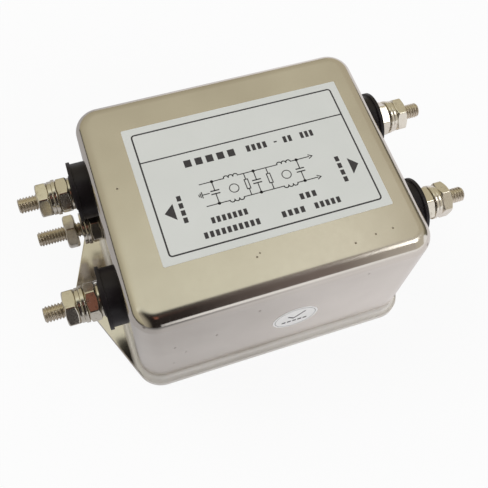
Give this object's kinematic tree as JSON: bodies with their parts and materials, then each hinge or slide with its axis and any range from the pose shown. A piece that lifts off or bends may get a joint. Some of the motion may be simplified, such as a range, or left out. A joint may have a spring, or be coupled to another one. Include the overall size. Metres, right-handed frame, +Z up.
{
  "type": "power line filter",
  "caption": "Chassis-mount power line filter: drawn steel can on an eared base plate, with threaded stud terminals in moulded bushes at both ends and an earth stud",
  "frame": {"origin": "on the mounting face, midway between the can's two ends and between its two long walls", "axes": "+X from the LINE end to the LOAD end, +Y from the front wall with the round sticker to the back wall, +Z up out of the mounting face"},
  "size_m": [0.117, 0.0682, 0.0441],
  "materials": {
    "can_plating": "satin nickel-plated drawn steel",
    "base_plating": "nickel-plated steel plate",
    "stud_plating": "nickel-plated thread",
    "hardware_plating": "bright nickel-plated turned steel",
    "bush_moulding": "satin black thermoset moulding",
    "rating_label": "printed pale grey film",
    "inspection_sticker": "white paper film",
    "lug_brass": "stamped brass",
    "wire_insulation": "extruded insulation",
    "sheet_board": "pressed insulating board",
    "plain_steel": "zinc-plated steel",
    "board_laminate": "bare laminate",
    "core_ferrite": "coated ferrite",
    "winding_wire": "enamelled copper wire",
    "divider_plastic": "moulded plate",
    "capacitor_case": "moulded box case",
    "capacitor_coating": "dipped coating",
    "resistor_coating": "lacquered"
  },
  "bodies": {
    "case": {"can": "can_plating", "base_plate": "base_plating", "rating_label": "rating_label", "inspection_sticker": "inspection_sticker", "outer_bushes": "bush_moulding", "inner_bushes": "bush_moulding", "power_studs": "stud_plating", "earth_stud": "stud_plating", "seat_washers": "hardware_plating", "clamping_nuts": "hardware_plating", "inside_nuts": "hardware_plating", "ring_lugs": "lug_brass", "lead_wires": "wire_insulation", "insulating_sheet": "sheet_board", "board_standoffs": "plain_steel", "circuit_board": "board_laminate", "board_screws": "plain_steel", "line_choke_core": "core_ferrite", "line_choke_windings": "winding_wire", "line_choke_divider": "divider_plastic", "load_choke_core": "core_ferrite", "load_choke_windings": "winding_wire", "load_choke_divider": "divider_plastic", "x_capacitor_line": "capacitor_case", "x_capacitor_middle": "capacitor_case", "x_capacitor_load": "capacitor_case", "y_capacitors": "capacitor_coating", "bleed_resistor": "resistor_coating"},
    "line_back_washers": {"line_back_plain_washer": "hardware_plating", "line_back_spring_washer": "hardware_plating"},
    "line_back_nut": {"line_back_nut": "hardware_plating"},
    "line_front_washers": {"line_front_plain_washer": "hardware_plating", "line_front_spring_washer": "hardware_plating"},
    "line_front_nut": {"line_front_nut": "hardware_plating"},
    "load_back_washers": {"load_back_plain_washer": "hardware_plating", "load_back_spring_washer": "hardware_plating"},
    "load_back_nut": {"load_back_nut": "hardware_plating"},
    "load_front_washers": {"load_front_plain_washer": "hardware_plating", "load_front_spring_washer": "hardware_plating"},
    "load_front_nut": {"load_front_nut": "hardware_plating"},
    "earth_washers": {"earth_plain_washer": "hardware_plating", "earth_spring_washer": "hardware_plating"},
    "earth_nut": {"earth_nut": "hardware_plating"}
  },
  "joints": [
    {"name": "line_back_nut_travel", "type": "slide", "parent": "case", "child": "line_back_washers", "axis": [-1, 0, 0], "range_m": [0, 0.00476]},
    {"name": "line_back_nut_turn", "type": "hinge", "parent": "line_back_washers", "child": "line_back_nut", "pos_m": [-0.0392, 0.016, 0.03], "axis": [-1, 0, 0], "range_deg": [0, 2160]},
    {"name": "line_front_nut_travel", "type": "slide", "parent": "case", "child": "line_front_washers", "axis": [-1, 0, 0], "range_m": [0, 0.00476]},
    {"name": "line_front_nut_turn", "type": "hinge", "parent": "line_front_washers", "child": "line_front_nut", "pos_m": [-0.0392, -0.016, 0.03], "axis": [-1, 0, 0], "range_deg": [0, 2160]},
    {"name": "load_back_nut_travel", "type": "slide", "parent": "case", "child": "load_back_washers", "axis": [1, 0, 0], "range_m": [0, 0.00476]},
    {"name": "load_back_nut_turn", "type": "hinge", "parent": "load_back_washers", "child": "load_back_nut", "pos_m": [0.0392, 0.015, 0.03], "axis": [1, 0, 0], "range_deg": [0, 2160]},
    {"name": "load_front_nut_travel", "type": "slide", "parent": "case", "child": "load_front_washers", "axis": [1, 0, 0], "range_m": [0, 0.00476]},
    {"name": "load_front_nut_turn", "type": "hinge", "parent": "load_front_washers", "child": "load_front_nut", "pos_m": [0.0392, -0.015, 0.03], "axis": [1, 0, 0], "range_deg": [0, 2160]},
    {"name": "earth_nut_turn", "type": "hinge", "parent": "case", "child": "earth_washers", "pos_m": [-0.0392, 0.01199, 0.0167], "axis": [-1, 0, 0], "range_deg": [-630, 2520]},
    {"name": "earth_nut_travel", "type": "slide", "parent": "earth_washers", "child": "earth_nut", "axis": [-1, 0, 0], "range_m": [-0.00138, 0.00556]}
  ],
  "couplings": [
    {"joint": "line_back_nut_turn", "follows": "line_back_nut_travel", "rad_per_m": 7915.8},
    {"joint": "line_front_nut_turn", "follows": "line_front_nut_travel", "rad_per_m": 7915.8},
    {"joint": "load_back_nut_turn", "follows": "load_back_nut_travel", "rad_per_m": 7915.8},
    {"joint": "load_front_nut_turn", "follows": "load_front_nut_travel", "rad_per_m": 7915.8},
    {"joint": "earth_nut_turn", "follows": "earth_nut_travel", "rad_per_m": 7915.8}
  ]
}
